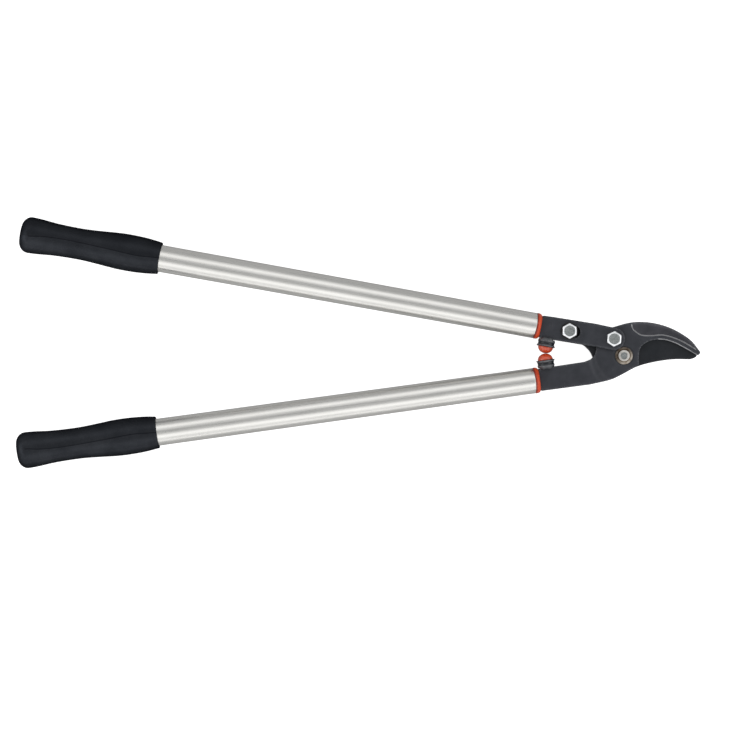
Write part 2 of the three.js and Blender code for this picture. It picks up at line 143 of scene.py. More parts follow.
class Surface:
    """A procedural material: colour in patches, roughness from grain, bump, and wear on edges."""

    def __init__(self, name, metallic, specular=0.5, coat=0.0, anisotropic=0.0, edge_tint=1.0):
        self.material = bpy.data.materials.new(name)
        self.material.use_nodes = True
        self.nodes = self.material.node_tree.nodes
        self.links = self.material.node_tree.links
        self.shader = self.nodes["Principled BSDF"]
        self.shader.inputs["Metallic"].default_value = metallic
        self.shader.inputs["Specular IOR Level"].default_value = specular
        self.shader.inputs["Coat Weight"].default_value = coat
        self.shader.inputs["Coat Roughness"].default_value = COAT_ROUGHNESS
        self.shader.inputs["Anisotropic"].default_value = anisotropic
        self.shader.inputs["Specular Tint"].default_value = (edge_tint, edge_tint, edge_tint, 1)
        self.height = None
        place = self.nodes.new("ShaderNodeTexCoord").outputs["Object"]
        shift = self.nodes.new("ShaderNodeObjectInfo").outputs["Random"]
        self.place = self.new("ShaderNodeMapping", Vector=place, Location=shift).outputs["Vector"]

    def new(self, kind, **inputs):
        node = self.nodes.new(kind)
        for name, value in inputs.items():
            node_input(node, name.replace("_", " "), value, self.links)
        return node

    def stretched(self, stretch, turn=0.0):
        node = self.new("ShaderNodeMapping", Vector=self.place)
        node.inputs["Scale"].default_value = stretch
        node.inputs["Rotation"].default_value = (0, 0, turn)
        return node.outputs["Vector"]

    def noise(self, size_mm, detail=4.0, roughness=0.55, stretch=(1, 1, 1)):
        """Noise whose patches are about size_mm across, narrower along an axis that is stretched."""
        scale = 1 / (size_mm * MM)
        node = self.new("ShaderNodeTexNoise", Vector=self.stretched(stretch), Scale=scale, Detail=detail)
        node.inputs["Roughness"].default_value = roughness
        return node.outputs["Fac"]

    def scratches(self, size_mm):
        """Short straight lines, all in much the same direction."""
        place = self.stretched((1, 0.05, 1), 1.2)
        node = self.new("ShaderNodeTexVoronoi", Vector=place, Scale=1 / (size_mm * MM))
        node.feature = "DISTANCE_TO_EDGE"
        return self.ramp(node.outputs["Distance"], 0.0, 0.03, 1.0, 0.0)

    def ramp(self, value, low, high, out_low=0.0, out_high=1.0):
        node = self.new("ShaderNodeMapRange", Value=value)
        node.inputs["From Min"].default_value = low
        node.inputs["From Max"].default_value = high
        node.inputs["To Min"].default_value = out_low
        node.inputs["To Max"].default_value = out_high
        return node.outputs["Result"]

    def math(self, operation, a, b):
        node = self.nodes.new("ShaderNodeMath")
        node.operation = operation
        node.use_clamp = True
        node_input(node, 0, a, self.links)
        node_input(node, 1, b, self.links)
        return node.outputs[0]

    def times(self, a, b):
        return self.math("MULTIPLY", a, b)

    def mix(self, factor, a, b):
        node = self.nodes.new("ShaderNodeMix")
        node.data_type = "RGBA"
        node_input(node, "Factor", factor, self.links)
        for socket, value in zip(node.inputs[6:8], (a, b)):
            if isinstance(value, bpy.types.NodeSocket):
                self.links.new(value, socket)
            else:
                socket.default_value = (*value, 1)
        return node.outputs[2]

    def attribute(self, name):
        node = self.nodes.new("ShaderNodeAttribute")
        node.attribute_name = name
        return node.outputs["Fac"]

    def bump(self, height, depth_mm, strength=1.0):
        node = self.new("ShaderNodeBump", Height=height)
        node.inputs["Strength"].default_value = strength
        node.inputs["Distance"].default_value = depth_mm * MM
        if self.height is not None:
            self.links.new(self.height, node.inputs["Normal"])
        self.height = node.outputs["Normal"]

    def done(self, colour, roughness):
        self.links.new(colour, self.shader.inputs["Base Color"])
        node_input(self.shader, "Roughness", roughness, self.links)
        if self.height is not None:
            self.links.new(self.height, self.shader.inputs["Normal"])
        return self.material


def coated_steel(name, dark, light, worn, wear_amount, roughness=(0.38, 0.55)):
    """Dark coating over a forging: a fine pebbled grain, cloudy tone, and edges rubbed lighter."""
    s = Surface(name, metallic=0.35, specular=0.45)
    cloud = s.ramp(s.noise(14, 5), 0.32, 0.68)
    grain = s.noise(0.55, 3, 0.6)
    colour = s.mix(cloud, dark, light)
    wear_and_painted_light = s.ramp(s.noise(2.2, 6, 0.7), 0.42, 0.62)
    edge = s.times(s.attribute("edge"), s.times(wear_and_painted_light, wear_amount))
    scuffs = s.times(s.scratches(9), s.ramp(s.noise(6, 3), 0.58, 0.72, 0.0, 0.13))
    colour = s.mix(s.math("MAXIMUM", edge, scuffs), colour, worn)
    s.bump(grain, 0.03, 0.6)
    s.bump(s.noise(3.5, 4), 0.08, 0.35)
    return s.done(colour, s.ramp(grain, 0.3, 0.7, *roughness))


def ground_steel(name, dark, light, roughness=(0.22, 0.42)):
    """Bare steel from the grinding wheel: close parallel lines and slight stains."""
    s = Surface(name, metallic=0.9)
    lines = s.noise(1.6, 5, 0.65, (1, 14, 1))
    stain = s.ramp(s.noise(5, 4), 0.45, 0.7)
    colour = s.mix(lines, dark, light)
    colour = s.mix(s.times(stain, 0.35), colour, tuple(c * 0.55 for c in dark))
    s.bump(lines, 0.02, 0.6)
    return s.done(colour, s.ramp(lines, 0.3, 0.7, *roughness))


def plated_steel(name, dark, light, roughness, mottle_mm=1.2, depth_mm=0.03):
    """Zinc plating: small mottled crystals, faint stains and handling marks."""
    s = Surface(name, metallic=0.92)
    mottle = s.ramp(s.noise(mottle_mm, 5, 0.7), 0.3, 0.7)
    stain = s.ramp(s.noise(4, 3), 0.5, 0.75)
    colour = s.mix(mottle, dark, light)
    colour = s.mix(s.times(stain, 0.4), colour, tuple(c * 0.6 for c in dark))
    s.bump(s.noise(mottle_mm * 0.6, 4), depth_mm, 0.5)
    return s.done(colour, s.ramp(mottle, 0.0, 1.0, *roughness))


def worn_washer(name):
    """Bronze washer: a rubbed rim, a brown groove inside it, patches of rust and one side darker towards the
    fulcrum.
    """
    s = Surface(name, metallic=0.75)
    patches = s.ramp(s.noise(2.6, 5, 0.7), 0.38, 0.62)
    rim = s.attribute("edge")
    colour = s.mix(patches, (0.16, 0.115, 0.075), (0.33, 0.27, 0.21))
    wear_and_painted_light = s.times(rim, s.ramp(s.noise(5, 3), 0.35, 0.6, 0.25, 1.0))
    colour = s.mix(wear_and_painted_light, colour, (0.50, 0.45, 0.39))
    # The washer is darker on its side towards the fulcrum.
    fulcrum_side_dark = s.times(s.attribute("oil"), s.ramp(s.noise(3, 3), 0.3, 0.6, 0.65, 1.0))
    colour = s.mix(fulcrum_side_dark, colour, (0.060, 0.042, 0.028))
    s.bump(s.noise(1.1, 4), 0.05, 0.5)
    return s.done(colour, s.ramp(patches, 0, 1, 0.34, 0.5))


def drawn_aluminium(name):
    """Satin anodised tube: long fine drawing lines along Z, light clouds and a few handling marks."""
    s = Surface(name, metallic=1.0, anisotropic=0.25)
    lines = s.noise(0.7, 4, 0.6, (1, 1, 0.012))
    cloud = s.ramp(s.noise(22, 4, 0.5, (1, 1, 0.3)), 0.35, 0.65)
    colour = s.mix(lines, (0.60, 0.59, 0.565), (0.74, 0.73, 0.70))
    colour = s.mix(s.times(cloud, 0.25), colour, (0.78, 0.77, 0.745))
    rubs = s.ramp(s.noise(1.4, 3, 0.6, (1, 1, 0.02)), 0.66, 0.74, 0.0, 0.22)
    colour = s.mix(rubs, colour, (0.50, 0.49, 0.475))
    s.bump(lines, 0.006, 0.5)
    return s.done(colour, s.ramp(lines, 0.3, 0.7, 0.24, 0.34))


def satin_rubber(name, dark, light, worn):
    """Hard satin grip rubber: soft sheen along its length, dusty patches, a dark parting line of painted shade,
    and painted shade over the half towards +Y.
    """
    s = Surface(name, metallic=0.6, specular=0.0, edge_tint=0.1)
    flow = s.ramp(s.noise(20, 4, 0.5), 0.35, 0.65)
    grain = s.noise(0.6, 3, 0.6)
    colour = s.mix(flow, dark, light)
    dust = s.times(s.ramp(s.noise(1.5, 5, 0.75), 0.52, 0.75), 0.45)
    colour = s.mix(dust, colour, worn)
    # Painted shade: the half of the grip towards +Y, marked by the half attribute, is darkened.
    colour = s.mix(s.times(s.attribute("half"), 0.4), colour, (0.008, 0.009, 0.011))
    # Painted shade: a dark strip along the parting line, marked by the seam attribute.
    colour = s.mix(s.times(s.attribute("seam"), 0.7), colour, (0.004, 0.004, 0.006))
    s.bump(grain, 0.025, 0.6)
    s.bump(s.noise(9, 3), 0.08, 0.3)
    return s.done(colour, s.ramp(grain, 0.3, 0.7, 0.3, 0.42))


def moulded(name, dark, light, roughness, coat=0.0, specular=0.5, dust=None, wear_and_painted_light=None):
    """Moulded rubber or plastic: fine spark-eroded grain, faint flow marks and dust in the hollows, and optionally
    a colour laid along the marked edges as painted light: painted shade on the collar, painted highlights on the
    cups.
    """
    s = Surface(name, metallic=0.0, specular=specular, coat=coat)
    flow = s.ramp(s.noise(18, 4, 0.5), 0.35, 0.65)
    grain = s.noise(0.45, 3, 0.6)
    colour = s.mix(flow, dark, light)
    if dust is not None:
        settled = s.times(s.ramp(s.noise(1.1, 5, 0.75), 0.55, 0.75), 0.5)
        colour = s.mix(settled, colour, dust)
    # Painted light: a colour laid where the edge attribute marks it, painted shade where the collar meets the tube
    # and painted highlight bands on the cups.
    if wear_and_painted_light is not None:
        patches = s.ramp(s.noise(3, 4), 0.3, 0.6, 0.4, 1.0)
        colour = s.mix(s.times(s.attribute("edge"), patches), colour, wear_and_painted_light)
    s.bump(grain, 0.02, 0.6)
    s.bump(s.noise(7, 3), 0.06, 0.25)
    return s.done(colour, s.ramp(grain, 0.3, 0.7, *roughness))


FORGED = coated_steel("forged_coating", (0.021, 0.023, 0.029), (0.034, 0.036, 0.044),
                      (0.17, 0.175, 0.185), 0.45)
SIDES = coated_steel("forged_sides", (0.019, 0.021, 0.026), (0.032, 0.034, 0.041), (0.10, 0.10, 0.11), 0.0)
FIELD = coated_steel("hook_field", (0.026, 0.027, 0.033), (0.044, 0.044, 0.052),
                     (0.18, 0.18, 0.19), 0.5, (0.34, 0.5))
BLADE_COAT = coated_steel("blade_coating", (0.007, 0.009, 0.012), (0.013, 0.015, 0.019),
                          (0.10, 0.10, 0.11), 0.4, (0.3, 0.42))
GROUND = ground_steel("ground_steel", (0.28, 0.28, 0.29), (0.46, 0.46, 0.47))
BEVEL = ground_steel("blade_bevel", (0.42, 0.42, 0.43), (0.62, 0.62, 0.63), (0.16, 0.3))
ZINC = plated_steel("zinc_bright", (0.66, 0.67, 0.69), (0.86, 0.87, 0.88), (0.22, 0.36))
ZINC_WORN = plated_steel("zinc_worn", (0.46, 0.44, 0.41), (0.72, 0.70, 0.66), (0.3, 0.45), 1.6, 0.05)
ZINC_DULL = plated_steel("zinc_dull", (0.15, 0.165, 0.165), (0.38, 0.395, 0.39), (0.42, 0.62), 1.5, 0.16)
BLACK_OXIDE = coated_steel("black_oxide", (0.006, 0.006, 0.007), (0.011, 0.011, 0.012),
                           (0.06, 0.06, 0.06), 0.3)
WASHER = worn_washer("worn_bronze")
BRONZE = plated_steel("bronze", (0.30, 0.23, 0.17), (0.56, 0.49, 0.42), (0.3, 0.48), 2.2, 0.04)
ALUMINIUM = drawn_aluminium("drawn_aluminium")
# The dark red laid on the collar's edge next to the tube is painted shade.
ORANGE = moulded("orange_plastic", (0.50, 0.046, 0.010), (0.62, 0.068, 0.015), (0.28, 0.4), coat=0.15,
                 specular=0.3, wear_and_painted_light=(0.13, 0.010, 0.006))
ORANGE_RUBBER = moulded("orange_rubber", (0.44, 0.040, 0.009), (0.56, 0.064, 0.014), (0.22, 0.32), coat=0.6)
GRIP_RUBBER = satin_rubber("grip_rubber", (0.022, 0.024, 0.0285), (0.031, 0.0335, 0.039),
                           (0.058, 0.060, 0.064))
# The light grey laid on the cup's marked bands is painted highlight; the dust colour is dust.
CUP_RUBBER = moulded("cup_rubber", (0.004, 0.006, 0.009), (0.008, 0.010, 0.014), (0.2, 0.3), coat=0.25,
                     specular=0.25, dust=(0.03, 0.03, 0.035), wear_and_painted_light=(0.20, 0.205, 0.215))
NYLON = moulded("plug_nylon", (0.035, 0.035, 0.035), (0.05, 0.05, 0.05), (0.5, 0.6))


# ---- mesh making
def build(name, verts, faces, body, slot, replaced, materials, matrix=None, indices=None, attributes=None,
          sharp_deg=32):
    """Makes an object from millimetre vertices, shades it, and has it ride on its body."""
    mesh = bpy.data.meshes.new(name)
    corners = [tuple(v) for v in np.asarray(verts) * MM]
    mesh.from_pydata(corners, [], [tuple(int(i) for i in f) for f in faces])
    for material in materials:
        mesh.materials.append(material)
    if indices is not None:
        mesh.polygons.foreach_set("material_index", list(indices))
    for key, values in (attributes or {}).items():
        mesh.attributes.new(key, "FLOAT", "POINT").data.foreach_set("value", list(values))
    mesh.shade_smooth()
    mesh.set_sharp_from_angle(angle=math.radians(sharp_deg))
    mesh.validate()
    mesh.update()
    obj = bpy.data.objects.new(name, mesh)
    bpy.context.scene.collection.objects.link(obj)
    if matrix is not None:
        obj.matrix_world = matrix
    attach(obj, body)
    if replaced:
        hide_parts(*replaced)
    return obj


def skin(rings, start=None, end=None):
    """Quads between rings of points, with a fan to a centre point at either end, or a closed loop."""
    count = len(rings[0])
    verts = [tuple(p) for ring in rings for p in ring]
    pairs = [(r, r + 1) for r in range(len(rings) - 1)]
    if start is None and end is None:
        pairs.append((len(rings) - 1, 0))
    faces = []
    for low, high in pairs:
        for i in range(count):
            j = (i + 1) % count
            faces.append((low * count + i, low * count + j, high * count + j, high * count + i))
    if start is not None:
        verts.append(tuple(start))
        faces.extend((len(verts) - 1, (i + 1) % count, i) for i in range(count))
    if end is not None:
        verts.append(tuple(end))
        top = (len(rings) - 1) * count
        faces.extend((len(verts) - 1, top + i, top + (i + 1) % count) for i in range(count))
    return np.array(verts, float), faces


def reach(points, centre=(0, 0)):
    """Distance of each point from an upright axis."""
    return np.hypot(points[:, 0] - centre[0], points[:, 1] - centre[1])


def face_centres(verts, faces):
    return np.array([verts[list(f)].mean(axis=0) for f in faces])


def circle(radius, height, segments=96, turn=0.0):
    angles = np.linspace(0, 2 * math.pi, segments, endpoint=False)
    r = radius(angles) if callable(radius) else np.full(segments, float(radius))
    z = height(angles) if callable(height) else np.full(segments, float(height))
    return np.stack((r * np.cos(angles + turn), r * np.sin(angles + turn), z), axis=1)


def stack(profile, segments, turn=0.0):
    """Rings from (radius, height) pairs, where either may be a function of the angle."""
    return [circle(radius, height, segments, turn) for radius, height in profile]


def revolve(profile, segments=96, centre=(0, 0)):
    """Turns a profile of (radius, height) about Z. It closes on the axis or on itself."""
    on_axis = profile[0][0] == 0
    inner = profile[1:-1] if on_axis else profile
    start = (0, 0, profile[0][1]) if on_axis else None
    end = (0, 0, profile[-1][1]) if on_axis else None
    verts, faces = skin(stack(inner, segments), start, end)
    return verts + np.array((*centre, 0)), faces


def rounded(profile, radius, steps=4):
    """Rounds the corners of a closed or open profile of (radius, height) points."""
    out = []
    last = len(profile) - 1
    closed = profile[0][0] > 0
    for i, point in enumerate(profile):
        if not closed and i in (0, last):
            out.append(point)
            continue
        here = np.array(point, float)
        before = np.array(profile[i - 1], float) - here
        after = np.array(profile[(i + 1) % len(profile)], float) - here
        cut = min(radius, 0.45 * np.linalg.norm(before), 0.45 * np.linalg.norm(after))
        a = here + before / np.linalg.norm(before) * cut
        b = here + after / np.linalg.norm(after) * cut
        for k in range(steps + 1):
            t = k / steps
            out.append(tuple((1 - t) ** 2 * a + 2 * t * (1 - t) * here + t * t * b))
    return out


def spline(points, count):
    """A Catmull-Rom curve through the points, sampled evenly by index."""
    p = np.array(points, float)
    p = np.vstack((2 * p[0] - p[1], p, 2 * p[-1] - p[-2]))
    out = []
    for s in np.linspace(0, len(points) - 1, count):
        k = min(int(s), len(points) - 2)
        t = s - k
        a, b, c, d = p[k:k + 4]
        square, cube = 2 * a - 5 * b + 4 * c - d, 3 * b - a - 3 * c + d
        out.append(0.5 * (2 * b + (c - a) * t + square * t * t + cube * t ** 3))
    return np.array(out)


def arc(centre, radius, start_deg, end_deg, count):
    angles = np.radians(np.linspace(start_deg, end_deg, count))
    return np.stack((centre[0] + radius * np.cos(angles), centre[1] + radius * np.sin(angles)), axis=1)


def resample(loop, step):
    """A closed outline with a point about every step, keeping its corners."""
    out = []
    for a, b in zip(loop, np.roll(loop, -1, axis=0)):
        pieces = max(1, int(round(np.linalg.norm(b - a) / step)))
        out.extend(a + (b - a) * k / pieces for k in range(pieces))
    return np.array(out)


def dedupe(loop, limit=0.02):
    keep = np.linalg.norm(loop - np.roll(loop, 1, axis=0), axis=1) > limit
    return loop[keep]


def soften(loop, radius):
    """Rounds the sharp corners of a closed outline."""
    out = []
    for i, here in enumerate(loop):
        before, after = loop[i - 1] - here, loop[(i + 1) % len(loop)] - here
        la, lb = np.linalg.norm(before), np.linalg.norm(after)
        turn = math.pi - math.acos(np.clip(before @ after / (la * lb), -1, 1))
        if turn < 0.35:
            out.append(here)
            continue
        cut = min(radius, 0.45 * la, 0.45 * lb)
        a, b = here + before / la * cut, here + after / lb * cut
        out.extend((1 - t) ** 2 * a + 2 * t * (1 - t) * here + t * t * b for t in np.linspace(0, 1, 6))
    return np.array(out)


def distance_to(points, line, closed=False):
    """Distance from each point to a polyline, and on which side it lies (+1 is the line's left)."""
    a = line if closed else line[:-1]
    b = np.roll(line, -1, axis=0) if closed else line[1:]
    best = np.full(len(points), 1e9)
    side = np.ones(len(points))
    for p, q in zip(a, b):
        along = q - p
        t = np.clip(((points - p) @ along) / max(along @ along, 1e-12), 0, 1)
        gap = points - (p + t[:, None] * along)
        d = np.hypot(gap[:, 0], gap[:, 1])
        closer = d < best - 1e-9
        best = np.where(closer, d, best)
        left = along[0] * (points[:, 1] - p[1]) - along[1] * (points[:, 0] - p[0]) > 0
        side = np.where(closer, np.where(left, 1.0, -1.0), side)
    return best, side


def inside(points, loop):
    x, y = points[:, 0], points[:, 1]
    result = np.zeros(len(points), bool)
    for (x0, y0), (x1, y1) in zip(loop, np.roll(loop, -1, axis=0)):
        crosses = (y0 > y) != (y1 > y)
        if y0 != y1:
            result ^= crosses & (x < (x1 - x0) * (y - y0) / (y1 - y0) + x0)
    return result


def offset(line, distance, closed=False):
    """The line moved to its left by a distance."""
    if closed:
        tangent = np.roll(line, -1, axis=0) - np.roll(line, 1, axis=0)
    else:
        tangent = np.gradient(line, axis=0)
    tangent /= np.linalg.norm(tangent, axis=1)[:, None]
    return line + np.reshape(distance, (-1, 1)) * np.stack((-tangent[:, 1], tangent[:, 0]), axis=1)


def smoothstep(value, low, high):
    t = np.clip((value - low) / (high - low), 0, 1)
    return t * t * (3 - 2 * t)


def forging(name, outline, holes, top, bottom, rim, features, paint, spacing=1.8, **making):
    """A plate whose front and back are height fields over one outline, with rounded rims.

    top and bottom give heights at (points), features are lines that the triangles follow, and paint
    gives a material index at (points, facing) where facing is 1 on the front, -1 on the back, 0 on a wall.
    """
    step = 0.9
    loops = [resample(dedupe(outline), step)] + [resample(dedupe(hole), step) for hole in holes]
    insets = [rim * k for k in (0.0, 0.12, 0.4, 1.0)]
    lines = []
    for loop in loops:
        lines.extend((offset(loop, inset, True), True) for inset in insets)
    lines.extend((line, False) for line in features)
    points, edges = [], []
    for line, closed in lines:
        base = len(points)
        points.extend(line)
        count = len(line)
        edges.extend((base + i, base + (i + 1) % count) for i in range(count if closed else count - 1))
    low, high = loops[0].min(0), loops[0].max(0)
    xs, ys = np.meshgrid(np.arange(low[0], high[0], spacing), np.arange(low[1], high[1], spacing * 0.87))
    xs = xs + (np.arange(len(xs)) % 2)[:, None] * spacing / 2
    grid = np.stack((xs.ravel(), ys.ravel()), axis=1)
    keep = inside(grid, loops[0])
    for line, closed in lines:
        keep &= distance_to(grid, line, closed)[0] > spacing * 0.45
    points.extend(grid[keep])
    flat, _, tris = delaunay_2d_cdt([Vector(p) for p in points], edges, [], 0, 1e-5)[:3]
    flat = np.array([tuple(p) for p in flat])
    tris = np.array(tris)
    middle = flat[tris].mean(axis=1)
    solid = inside(middle, loops[0])
    for hole in loops[1:]:
        solid &= ~inside(middle, hole)
    tris = tris[solid]
    corner = flat[tris]
    area = np.cross(corner[:, 1] - corner[:, 0], corner[:, 2] - corner[:, 0])
    tris = tris[np.abs(area) > 1e-7]
    area = area[np.abs(area) > 1e-7]
    tris[area < 0] = tris[area < 0][:, ::-1]
    used, tris = np.unique(tris, return_inverse=True)
    tris = tris.reshape(-1, 3)
    flat = flat[used]
    depth = np.min([distance_to(flat, loop, True)[0] for loop in loops], axis=0)
    z_top, z_bottom = top(flat), bottom(flat)
    drop = rim - np.sqrt(np.maximum(rim ** 2 - (rim - np.minimum(depth, rim)) ** 2, 0))
    drop = np.minimum(drop, 0.4 * (z_top - z_bottom))
    count = len(flat)
    verts = np.vstack((np.column_stack((flat, z_top - drop)), np.column_stack((flat, z_bottom + drop))))
    directed = {(a, b) for t in tris for a, b in ((t[0], t[1]), (t[1], t[2]), (t[2], t[0]))}
    walls = [(b, a, a + count, b + count) for a, b in directed if (b, a) not in directed]
    walls.sort()
    faces = [tuple(t) for t in tris] + [(t[2] + count, t[1] + count, t[0] + count) for t in tris] + walls
    centres = flat[tris].mean(axis=1)
    wall_centres = np.array([(flat[a] + flat[b]) / 2 for b, a, _, _ in walls])
    indices = np.concatenate((paint(centres, 1), paint(centres, -1), paint(wall_centres, 0))).astype(int)
    edge = np.tile(1 - smoothstep(depth, 0.0, 2.2), 2)
    return build(name, verts, faces, indices=indices, attributes={"edge": edge}, **making)


# ---- forged outlines
def tang(side):
    return [handle_point(side, u, v) for u, v in (
        (SHOULDER, ARM_HALF_WIDTH), (SHOULDER, TANG_HALF_WIDTH), (TANG_END, TANG_HALF_WIDTH),
        (TANG_END, -TANG_HALF_WIDTH), (SHOULDER, -TANG_HALF_WIDTH), (SHOULDER, -ARM_HALF_WIDTH))]


HOOK_INNER = spline([(17.7, -9.5), (17.6, 0), (18.8, 8.6), (23.5, 14.3), (32.3, 18.6), (44.9, 19.6),
                     (57.8, 16.5), (70.9, 10.3), (85.6, 2.3)], 90)
HOOK_OUTER = spline([(89.5, 6.2), (77.2, 20.2), (59, 31.3), (41.1, 37.5), (23.5, 39.9), (6, 38.8),
                     (-13.8, 33)], 90)
HOOK_RIDGE = spline([(7.3, 41), (8.2, 33.5), (11.6, 28.6), (20.1, 23.7), (32.2, 23.3), (44.8, 24.3),
                     (57.6, 21.4), (70.4, 16), (84, 8.4), (90, 5.2)], 90)
CUTTING_EDGE = spline([(16.5, 19.5), (30, 23.4), (45, 23), (60, 18.4), (74.4, 10.9), (85.4, 3.1)], 60)
LEVER_LOWER = np.array([(-84, 16.3), (-48.1, 11.7), (-33, 9.6), (-14.6, 6.55)])
COUNTERBORE_R = 10.9


def hook_outline():
    return np.vstack((
        spline([(-39.3, -34.6), (-16, -28.8), (-4.4, -23.5), (7.1, -16.9), (15.6, -12.1)], 30),
        HOOK_INNER, [(88.3, 2.9)], HOOK_OUTER,
        spline([(-24.6, 24.2), (-31.4, 14), (-33.4, 2.6), (-38, -4.4), (-45.7, -8.1)], 30),
        tang(-1)[::-1]))


def lever_outline():
    return np.vstack(([(-48.1, 11.7), (-33, 9.6)], arc(FULCRUM, 12.9, -98, 76, 40),
                      [(-34, 36.6), (-84.2, 43.6)], tang(1)))


def blade_outline():
    return np.vstack((
        CUTTING_EDGE[::-1],
        spline([(4, 24.5), (-20, 30.2), (-54, 36.6)], 16),
        arc(DRIVE, 12, 40, 250, 40),
        spline([(-56, 13.6), (-47.9, 11.6), (-39.6, 4.3), (-33, -6.4), (-18, -15.4), (1.3, -17.6)], 40),
        spline([(12.9, -13.9), (24.5, -9.6), (42, -5.4), (59.5, -3), (78.3, -2.7)], 30),
        [(82.6, -1.3), (86.3, 1.3)]))


def hole(centre, radius, count=72):
    """Clockwise, so that the material is on its left."""
    return arc(centre, radius, 360, 360 / count, count)


def slot_hole():
    """The slot that the drive bolt slides in, from the bolt's path in the lever arm."""
    rest = DRIVE - FULCRUM
    angle = math.atan2(rest[1], rest[0])
    path = []
    for swing in np.linspace(0, 1, 14):
        bolt = complex(*DRIVE) * np.exp(-1j * swing * BLADE_SWING) - complex(*FULCRUM)
        path.append(bolt * np.exp(1j * (swing * LEVER_SWING - angle)))
    path = np.array(path)
    radius = 6.5 + np.abs(path.imag).max()
    loop = np.vstack((arc((path.real.max(), 0), radius, 90, -90, 24),
                      arc((path.real.min(), 0), radius, -90, -270, 24)))
    turn = np.array(((math.cos(angle), math.sin(angle)), (-math.sin(angle), math.cos(angle))))
    return loop @ turn + FULCRUM


# ---- forgings
RIM_R = 0.7
PLATE_BORE_R = 5.25
ARM_RAMP = (31.0, 43.0)
NECK_CLEAR = (27.5, 35.0)
NECK_STEP = (26.6, 30.5)
WASHER_SEAT_R = 10.3
COUNTERBORE_DEPTH = 1.6
FIELD_DEPTH = 1.1
RIDGE_WIDTH = 1.3
LIP_DEPTH = 0.75
BEVEL_WIDTH = 7.5
BEVEL_START, BEVEL_LENGTH = 15, 72


def make_hook():
    def top(p):
        from_pivot = reach(p)
        from_fulcrum = reach(p, FULCRUM)
        arm = smoothstep(from_pivot, *ARM_RAMP) * smoothstep(from_fulcrum, *NECK_CLEAR) * (p[:, 0] < 0)
        z = HOOK_FRONT + (ARM_FRONT - HOOK_FRONT) * arm
        d, side = distance_to(p, HOOK_RIDGE)
        rim, _ = distance_to(p, HOOK_OUTER)
        field = smoothstep(d * side, 0.0, RIDGE_WIDTH) * smoothstep(rim, 0.6, 3.2) * (p[:, 0] > 2)
        z = z - FIELD_DEPTH * field
        near, _ = distance_to(p, HOOK_INNER[30:])
        z = z - LIP_DEPTH * (1 - smoothstep(near, 0.1, 1.3)) * smoothstep(p[:, 0], 30, 48)
        chamfer = smoothstep(from_pivot, COUNTERBORE_R + 0.2, COUNTERBORE_R + 1.3)
        z = z - 0.3 * (1 - chamfer)
        return np.where(from_pivot < COUNTERBORE_R + 0.1, HOOK_FRONT - COUNTERBORE_DEPTH, z)

    def bottom(p):
        return HOOK_BACK + 0.15 * (1 - smoothstep(p[:, 0], -48, -46))

    def paint(p, facing):
        d, side = distance_to(p, HOOK_RIDGE)
        signed = d * side
        near, _ = distance_to(p, HOOK_INNER[34:])
        index = np.where((signed > RIDGE_WIDTH) & (p[:, 0] > 2), 1, 0)
        rim, _ = distance_to(p, HOOK_OUTER)
        ridge = (signed > 0) & (signed < RIDGE_WIDTH) & (p[:, 0] > 2) & (rim > 2.4)
        lip = (near < 1.0) & (p[:, 0] > 40) & (p[:, 0] < 85)
        index = np.where(ridge | lip, 2, index)
        return {1: index, -1: np.zeros(len(p)), 0: np.full(len(p), 3)}[facing]

    ring_of = [arc((0, 0), COUNTERBORE_R + extra, 0, 360, 97) for extra in (0.0, 0.2, 1.3)]
    features = [offset(HOOK_RIDGE, k) for k in (0.0, 0.45, 0.9, RIDGE_WIDTH)] + ring_of
    features += [arc((0, 0), r, 100, 250, 60) for r in (31, 33, 35, 37, 39, 41, 43)]
    features += [arc(FULCRUM, r, 160, 300, 60) for r in np.linspace(*NECK_CLEAR, 5)]
    features += [offset(HOOK_INNER[30:84], k) for k in (1.0, 1.35)]
    holes = [hole(PIVOT, PLATE_BORE_R), hole(FULCRUM, PLATE_BORE_R)]
    forging("hook_jaw_and_arm", soften(hook_outline(), 1.2), holes, top, bottom, RIM_R, features, paint,
            body=HOOK, slot="forged_steel", replaced=["hook_arm"], materials=[FORGED, FIELD, GROUND, SIDES])


def make_lever():
    def top(p):
        d, _ = distance_to(p, LEVER_LOWER)
        near_eye = smoothstep(p[:, 0], -75, -40)
        return ARM_FRONT - 1.15 * (1 - smoothstep(d, 0.0, 1.5 + 0.5 * near_eye))

    def bottom(p):
        from_fulcrum = reach(p, FULCRUM)
        z = NECK_BACK + (ARM_BACK - NECK_BACK) * smoothstep(from_fulcrum, *NECK_STEP)
        return np.where(from_fulcrum < WASHER_SEAT_R + 0.02, WASHER_SEAT, z)

    def paint(p, facing):
        return np.full(len(p), int(facing == 0))

    features = [arc(FULCRUM, r, 120, 260, 60) for r in (NECK_STEP[0], 27.8, 29.2, NECK_STEP[1])]
    features += [arc(FULCRUM, WASHER_SEAT_R + extra, 0, 360, 97) for extra in (0.0, 0.1)]
    features += [offset(LEVER_LOWER, k) for k in (1.0, 1.5, 2.0)]
    forging("lever_arm_forging", soften(lever_outline(), 1.2), [hole(FULCRUM, 7.5), slot_hole()],
            top, bottom, RIM_R, features, paint, body=LEVER, slot="forged_steel",
            replaced=["lever_arm"], materials=[FORGED, SIDES])


